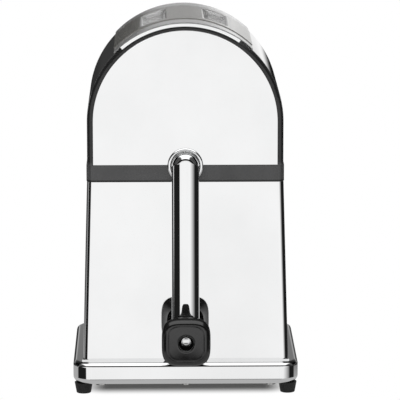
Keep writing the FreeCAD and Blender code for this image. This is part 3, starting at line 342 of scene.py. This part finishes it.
def makeKnob():
    back, front, half, backHalf = knob["back"], knob["front"], knob["half"], knob["backHalf"]
    backRound, wellRound, floorRound = knob["backRound"], knob["wellRound"], knob["floorRound"]
    wide, tall = knob["border"]
    creaseAt, creaseWide, creaseDeep = knob["crease"]
    mouth, rings = knob["well"] + wellRound, knob["rings"]
    rear = arcPoints((backHalf - backRound, back + backRound), (backRound, backRound), -90, 0, rings["back"])
    share = np.linspace(knob["flareStart"], 1, rings["side"])
    side = np.stack([backHalf + (half - backHalf) * share ** knob["flare"],
                     back + backRound + (front - tall - back - backRound) * share], -1)
    border = arcPoints((half - wide, front - tall), (wide, tall), *knob["borderTurn"], rings["border"])
    level = front - knob["sink"]
    radius = np.linspace(creaseAt + creaseWide, creaseAt - creaseWide, rings["crease"])
    dip = 0.5 + 0.5 * np.cos((radius - creaseAt) / creaseWide * np.pi)
    crease = np.stack([radius, level - creaseDeep * dip], -1)
    radius = np.linspace(creaseAt - creaseWide - knob["creaseGap"], mouth + knob["wellGap"], rings["face"])
    face = np.stack([radius, level + knob["crown"] * (1 - (radius / creaseAt) ** 2)], -1)
    lip = face[-1, 1] - wellRound
    edge = arcPoints((mouth, lip), (-wellRound, wellRound), *knob["wellTurn"], rings["edge"])
    low = front - knob["wellDepth"]
    floor = arcPoints((knob["well"] - floorRound, low + floorRound), (floorRound, floorRound), 0, -90,
                      rings["floor"])
    bore = np.array([(knob["bore"], low), (knob["bore"], back)])
    profile = np.concatenate([rear, side, border, crease, face, edge, floor, bore, rear[:1]])
    ease = np.clip((profile[:, 0] - mouth) / (creaseAt - mouth), 0, 1) ** knob["squareEase"]
    square = circle + (knob["faceSquare"] - circle) * ease
    square[:len(rear) + len(side) + len(border)] = knob["square"]
    square[-3:] = (circle, circle, knob["square"])
    ring = ringsOf(profile, square, knob["centre"], knob["steps"])
    newPiece("knobShell", ring, "knob", ["knob"], "knob_black", knob["sharp"])


# spindle: a turned pin whose head is a low dome on a short straight rim
pin = {"back": 58.5, "seat": 89.25, "radius": 2.75, "tip": 0.3, "head": 3.6, "under": 0.15, "rim": 0.7,
       "edge": 0.7, "edgeTurn": (0, 80), "dome": 0.5, "rings": (8, 16), "steps": 96, "sharp": 50}


def makePin():
    back, seat, radius, tip = pin["back"], pin["seat"], pin["radius"], pin["tip"]
    head, under, bend = pin["head"], pin["under"], pin["edge"]
    wide, brow = head - bend, seat + pin["rim"]
    edge = arcPoints((wide, brow), (bend, bend), *pin["edgeTurn"], pin["rings"][0])
    reach = np.linspace(wide, 0, pin["rings"][1])
    dome = np.stack([reach, brow + bend + pin["dome"] * (1 - (reach / wide) ** 2)], -1)
    shank = [(0, back), (radius - tip, back), (radius, back + tip), (radius, seat), (head - under, seat),
             (head, seat + under)]
    profile = np.concatenate([shank, edge, dome])
    ring = ringsOf(profile, np.full(len(profile), circle), knob["centre"], pin["steps"])
    newPiece("spindlePin", ring, "crank", ["knob_spindle"], "chrome_pin", pin["sharp"])


# hub ring: a half-round bead round the edge of a thin washer behind the arm
hub = {"centre": (0.0, 155.3), "back": 56.5, "outer": 12.05, "bead": (1.4, 1.45), "foot": 0.25, "bore": 5.6,
       "rings": 28, "steps": 128, "sharp": 40}


def makeHubRing():
    wide, tall = hub["bead"]
    back, outer, bore, foot = hub["back"], hub["outer"], hub["bore"], hub["back"] + hub["foot"]
    bead = arcPoints((outer - wide, foot), (wide, tall), 0, 180, hub["rings"])
    profile = np.concatenate([[(bore, back), (outer, back)], bead, [(bore, foot), (bore, back)]])
    ring = ringsOf(profile, np.full(len(profile), circle), hub["centre"], hub["steps"])
    newPiece("hubRing", ring, "machine", ["hub_ring"], "chrome", hub["sharp"])


# crank arm: the outline of a long slot; its front is part of a cylinder across the width, and its edge rolls
# over tightly down the sides and broadly round the ends:
# height = front - (crown - sqrt(crown^2 - y^2)) - (round - sqrt(round^2 - (round - inset)^2))
arm = {"half": 9.2, "top": 155.3, "bottom": 42.5, "front": 68.5, "back": 58.5, "crown": 10.8,
       "sideRound": 0.6, "endRound": 4.7, "ease": 0.75, "backRound": 0.8, "lands": (0.4, 0.01), "insets": 36,
       "backInsets": 6, "turns": 64, "sideShares": (0.003, 0.012, 0.04, 0.5, 0.96, 0.988, 0.997), "sharp": 40}


def makeArm():
    half, crown, sideRound, backRound = arm["half"], arm["crown"], arm["sideRound"], arm["backRound"]
    turn = np.linspace(0, np.pi, arm["turns"])
    share = np.array(arm["sideShares"])
    level, upright = np.zeros(len(share)), np.ones(len(share))
    sideways = np.concatenate([np.cos(turn), -upright, -np.cos(turn), upright])
    upwards = np.concatenate([np.sin(turn), level, -np.sin(turn), level])
    span = arm["top"] - arm["bottom"]
    middle = np.concatenate([np.full(len(turn), arm["top"]), arm["top"] - span * share,
                             np.full(len(turn), arm["bottom"]), arm["bottom"] + span * share])
    inset = half * (1 - np.cos(np.linspace(0, quarterTurn, arm["insets"])))
    backTurn = np.linspace(0, quarterTurn, arm["backInsets"])
    edge = np.concatenate([inset[::-1], [0.0, 0.0], backRound * (1 - np.cos(backTurn)), [half]])
    across = sideways * (half - edge[:, None])
    along = middle + upwards * (half - edge[:, None])
    rounding = sideRound + (arm["endRound"] - sideRound) * smooth(np.abs(upwards) / arm["ease"])
    left = np.clip(rounding - inset[::-1, None], 0, None)
    front = arm["front"] - crown + np.sqrt(crown ** 2 - across[:len(inset)] ** 2)
    front = front - rounding + np.sqrt(rounding ** 2 - left ** 2)
    lands = arm["back"] + backRound + np.array(arm["lands"])
    lower = np.concatenate([lands, arm["back"] + backRound * (1 - np.sin(backTurn)), [arm["back"]]])
    height = np.concatenate([front, lower[:, None] * np.ones(len(sideways))])
    rings = np.stack([height, across, along], -1)
    newPiece("crankArm", rings, "crank", ["crank_arm"], "chrome", arm["sharp"])


# lid: a thin arched skin with a finger well on each side of a pinch bridge. Its middle panel stands a little
# above the borders, and a thicker lip runs along both ends. A well is blended in by the distance to a
# rounded rectangle: height = skin * (1 - share) + floor * share
lid = {"centre": 184.5, "outer": 67.25, "droop": (0.5, 45), "inner": 66.36, "thinnest": 0.4,
       "halfWidth": 55.0, "ends": (-45.4, 42.7), "lip": (65.6, 2.0, 0.6), "well": (28.0, 12.2, 29.5),
       "corner": 5.0, "wall": 4.2, "floor": (244.3, 242.6), "skin": 1.0, "panel": (36.5, 1.0, 0.4),
       "edgeRound": 0.45, "edgeShares": (0, 0.13, 0.5), "rings": 199, "turns": 189, "sharp": 46}


def lidSkin(across, angle, inward):  # outer skin, or the inner one when inward is the wall's thickness
    halfX, nearY, farY = lid["well"]
    panelHalf, panelSlope, panelRise = lid["panel"]
    droop, droopAt = lid["droop"]
    raised = smooth((panelHalf - np.abs(across)) / panelSlope)
    radius = lid["outer"] - droop * (angle / droopAt) ** 2 - panelRise * (1 - raised)
    if inward:
        radius = np.minimum(radius - lid["thinnest"], lid["inner"])
        lipRadius, lipWide, lipFade = lid["lip"]
        left = np.minimum(angle - lid["ends"][0], lid["ends"][1] - angle) * math.radians(1) * radius
        radius = radius - (radius - lipRadius) * np.clip((lipWide - left) / lipFade, 0, 1)
    side, high = radius * np.sin(np.radians(angle)), lid["centre"] + radius * np.cos(np.radians(angle))
    middle, halfY = (nearY + farY) / 2, (farY - nearY) / 2
    apartX = np.abs(across) - (halfX + inward - lid["corner"])
    apartY = np.abs(np.abs(side) - middle) - (halfY + inward - lid["corner"])
    outside = np.hypot(np.maximum(apartX, 0), np.maximum(apartY, 0))
    gap = outside + np.minimum(np.maximum(apartX, apartY), 0) - lid["corner"]
    share = smooth(-gap / lid["wall"])
    nearFloor, farFloor = lid["floor"]
    slope = np.clip((np.abs(side) - nearY) / (farY - nearY), 0, 1)
    floor = nearFloor + (farFloor - nearFloor) * slope - inward
    return np.stack([across, side, high + (floor - high) * share], -1)


def makeLid():
    halfWidth, edgeRound = lid["halfWidth"], lid["edgeRound"]
    angle = np.linspace(*lid["ends"], lid["turns"])
    rim = edgeRound * np.array(lid["edgeShares"])
    inside = np.linspace(edgeRound - halfWidth, halfWidth - edgeRound, lid["rings"])
    across = np.concatenate([rim - halfWidth, inside, halfWidth - rim[::-1]])
    flat, turn = np.meshgrid(across, angle, indexing="ij")
    top, under = lidSkin(flat, turn, 0.0), lidSkin(flat, turn, lid["skin"])
    # the two skins run together in a half round at the sides
    full = np.clip((halfWidth - np.abs(across)) / edgeRound, 0, 1)
    full = np.sqrt(1 - (1 - full) ** 2)[:, None, None]
    half = (top + under) / 2
    ring = np.concatenate([half + (top - half) * full, (half + (under - half) * full)[:, ::-1]], 1)
    newPiece("lidShell", ring, "lid", ["lid"], "clear_plastic", lid["sharp"], "lid_plastic")


makeKnob()
makePin()
makeHubRing()
makeArm()
makeLid()


# camera: opposite the crank side and a hair towards the front, looking down; angles in degrees, places in
# metres, sensor and lens in millimetres, and the shift a share of the sensor
camera = {"elevation": 10.5, "azimuth": -0.6, "roll": 0.1, "distance": 2.051, "target": (0.0625, 0, 0.1332),
          "sensor": 36, "lens": 277.1, "shift": 0.0363, "farthest": 50}


def makeCamera():
    data = bpy.data.cameras.new("camera")
    data.sensor_width = camera["sensor"]
    data.lens = camera["lens"]
    data.shift_x = camera["shift"]
    data.clip_end = camera["farthest"]
    seen = bpy.data.objects.new("camera", data)
    bpy.context.scene.collection.objects.link(seen)
    rise, side = math.radians(camera["elevation"]), math.radians(camera["azimuth"])
    back = Vector((math.cos(rise) * math.cos(side), math.cos(rise) * math.sin(side), math.sin(rise)))
    seen.location = Vector(camera["target"]) + back * camera["distance"]
    turned = (-back).to_track_quat("-Z", "Y").to_euler()
    turned.rotate_axis("Z", math.radians(-camera["roll"]))
    seen.rotation_euler = turned
    bpy.context.scene.camera = seen


# the room that polished surfaces mirror. A ring holds (heading, level) in degrees, 0 on the crank side and
# + towards the rear; foot is the lowest, and each next ring takes over between two elevations
room = {
    "foot": [(-180, 0.42), (-102, 0.4), (-95, 0.012), (-43, 0.012), (-40, 0.9), (30, 0.9), (66, 0.2),
             (70, 0.012), (100, 0.012), (110, 0.4), (180, 0.42)],
    "low": [(-180, 0.4), (-102, 0.38), (-95, 0.012), (-43, 0.012), (-40, 0.93), (34, 0.93), (72, 0.012),
            (145, 0.012), (180, 0.05)],
    "middle": [(-180, 0.03), (-126, 0.03), (-122, 0.14), (-110, 0.14), (-105, 0.012), (-97, 0.012),
               (-96, 0.8), (-91, 0.8), (-90, 0.012), (-43, 0.012), (-40, 0.95), (34, 0.95), (70, 0.012),
               (180, 0.012)],
    "level": [(-180, 0.19), (-175, 0.04), (-150, 0.03), (-70, 0.02), (-45, 0.9), (45, 0.9), (70, 0.02),
              (150, 0.1), (170.5, 0.1), (172.3, 0.95), (177, 0.95), (180, 0.19)],
    "starts": {"low": (-13.9, -13.2), "middle": (-13.0, -10.6), "level": (-6.5, -4.0), "over": (3.0, 7.2)},
    # the ceiling, by the angle over the top from the crank side, darker towards front and rear
    "over": [(0, 0.88), (14, 0.85), (16, 0.01), (41, 0.01), (47, 1.3), (102, 1.3), (107, 0.015), (150, 0.02),
             (162, 0.1), (168, 0.2), (171, 0.4), (180, 0.42)],
    "sides": (0.55, 0.75), "sidesLeft": 0.06,
    # below the rings: one grey, and a dark gap ahead of the crank side, its half width in turns
    "steep": 0.45, "steepTo": (-20.0, -15.5), "gap": 0.06, "gapHalf": (0.065, 0.04),
    "gapFrom": (-13.9, -19.0), "gapTo": (-27.0, -25.0),
    "cloud": (26, 2), "cloudLevels": (0.97, 1.02), "dull": 0.62,  # dull surfaces see one even level
}


def makeWorld():
    world = bpy.data.worlds.new("studio")
    world.use_nodes = True
    tree = world.node_tree
    tree.nodes.clear()
    way = addNode(tree, "ShaderNodeTexCoord").outputs["Generated"]
    axes = axesOf(tree, way)
    rise = compute(tree, "MULTIPLY", compute(tree, "ARCSINE", axes["Z"]), 180 / math.pi)
    turn = compute(tree, "ARCTAN2", axes["Y"], axes["X"])
    heading = compute(tree, "MULTIPLY_ADD", turn, 0.5 / math.pi, 0.5)
    over = compute(tree, "DIVIDE", compute(tree, "ARCTAN2", axes["Z"], axes["X"]), math.pi)

    def ring(name):
        return rampOf(tree, heading, [(degrees / 360 + 0.5, level) for degrees, level in room[name]])

    ceiling = rampOf(tree, over, [(degrees / 180, level) for degrees, level in room["over"]])
    apart = compute(tree, "ABSOLUTE", axes["Y"])
    ceiling = scaleOf(tree, ceiling, spread(tree, apart, *room["sides"], 1.0, room["sidesLeft"]))
    seen = ring("foot")
    for name in ("low", "middle", "level"):
        seen = blendOf(tree, spread(tree, rise, *room["starts"][name]), seen, ring(name))
    seen = blendOf(tree, spread(tree, rise, *room["steepTo"]), room["steep"], seen)
    aside = compute(tree, "ABSOLUTE", compute(tree, "SUBTRACT", heading, 0.5))
    gap = spread(tree, aside, *room["gapHalf"])
    for key in ("gapFrom", "gapTo"):
        gap = compute(tree, "MULTIPLY", gap, spread(tree, rise, *room[key]))
    seen = blendOf(tree, gap, seen, room["gap"])
    seen = blendOf(tree, spread(tree, rise, *room["starts"]["over"]), seen, ceiling)
    cloud = spread(tree, noiseOf(tree, way, *room["cloud"]), *noiseSpan, *room["cloudLevels"])

    path = addNode(tree, "ShaderNodeLightPath").outputs
    polished = compute(tree, "MAXIMUM", path["Is Glossy Ray"], path["Is Transmission Ray"])
    colour = blendOf(tree, polished, room["dull"], scaleOf(tree, seen, cloud))
    colour = blendOf(tree, path["Is Camera Ray"], colour, 1.0)
    shell = addNode(tree, "ShaderNodeBackground", {"Color": colour})
    addNode(tree, "ShaderNodeOutputWorld", {"Surface": shell.outputs[0]})
    bpy.context.scene.world = world


# pale table: lit and shaded under and close to the machine, where a darker tone than the white beyond deepens
# that shade as painted shade, plain white farther off
table = {"reach": 4.0, "tone": 0.5, "grain": (30, 3), "grainLevels": (0.97, 1.0), "inset": 0.023,
         "near": (0.0, 0.022)}


def makeFloor():
    corners = np.array([(-1, -1, 0), (1, -1, 0), (1, 1, 0), (-1, 1, 0)], float) * table["reach"]
    mesh = bpy.data.meshes.new("floor")
    mesh.from_pydata(corners.tolist(), [], [(0, 1, 2, 3)])
    floor = bpy.data.objects.new("floor", mesh)
    bpy.context.scene.collection.objects.link(floor)
    material = bpy.data.materials.new("paleTable")
    material.use_nodes = True
    tree = material.node_tree
    tree.nodes.clear()
    place = addNode(tree, "ShaderNodeTexCoord").outputs["Object"]
    axes = axesOf(tree, place)
    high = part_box("base_plate")[1]
    squares = []
    for axis in (0, 1):
        gap = compute(tree, "SUBTRACT", compute(tree, "ABSOLUTE", axes[axis]), high[axis] - table["inset"])
        gap = compute(tree, "MAXIMUM", gap, 0.0)
        squares.append(compute(tree, "MULTIPLY", gap, gap))
    away = compute(tree, "SQRT", compute(tree, "ADD", *squares))
    grain = spread(tree, noiseOf(tree, place, *table["grain"]), *noiseSpan, *table["grainLevels"])
    # painted shade: this darker grey shows only near the machine, on top of its real shading
    shade = compute(tree, "MULTIPLY", grain, table["tone"])
    dull = addNode(tree, "ShaderNodeBsdfDiffuse", {"Color": shade})
    glow = addNode(tree, "ShaderNodeEmission", {"Color": (1, 1, 1, 1), "Strength": 1.0})
    path = addNode(tree, "ShaderNodeLightPath").outputs
    share = compute(tree, "MULTIPLY", path["Is Camera Ray"], spread(tree, away, *table["near"]))
    both = addNode(tree, "ShaderNodeMixShader", {0: share, 1: dull.outputs[0], 2: glow.outputs[0]})
    addNode(tree, "ShaderNodeOutputMaterial", {"Surface": both.outputs[0]})
    mesh.materials.append(material)
    floor.visible_glossy = False


lampAim = Vector((0, 0, 0.1))
lamps = [  # name, place, size, power: soft round lamps above and on two sides, seen by no mirror
    ("lampTop", (0.25, 0.0, 1.5), 1.6, 15),
    ("lampFront", (1.3, -0.7, 0.9), 1.0, 4),
    ("lampRear", (-0.9, 1.1, 1.0), 1.0, 4),
]


def makeLamps():
    for name, place, size, power in lamps:
        data = bpy.data.lights.new(name, "AREA")
        data.shape = "DISK"
        data.size = size
        data.energy = power
        lamp = bpy.data.objects.new(name, data)
        bpy.context.scene.collection.objects.link(lamp)
        lamp.location = place
        lamp.rotation_mode = "QUATERNION"
        lamp.rotation_quaternion = (lampAim - Vector(place)).to_track_quat("-Z", "Y")
        lamp.visible_glossy = False
        lamp.visible_camera = False


makeCamera()
makeWorld()
makeFloor()
makeLamps()
bpy.context.scene.view_settings.view_transform = "Standard"
print("studio: camera, world, floor and", len(lamps), "lamps")
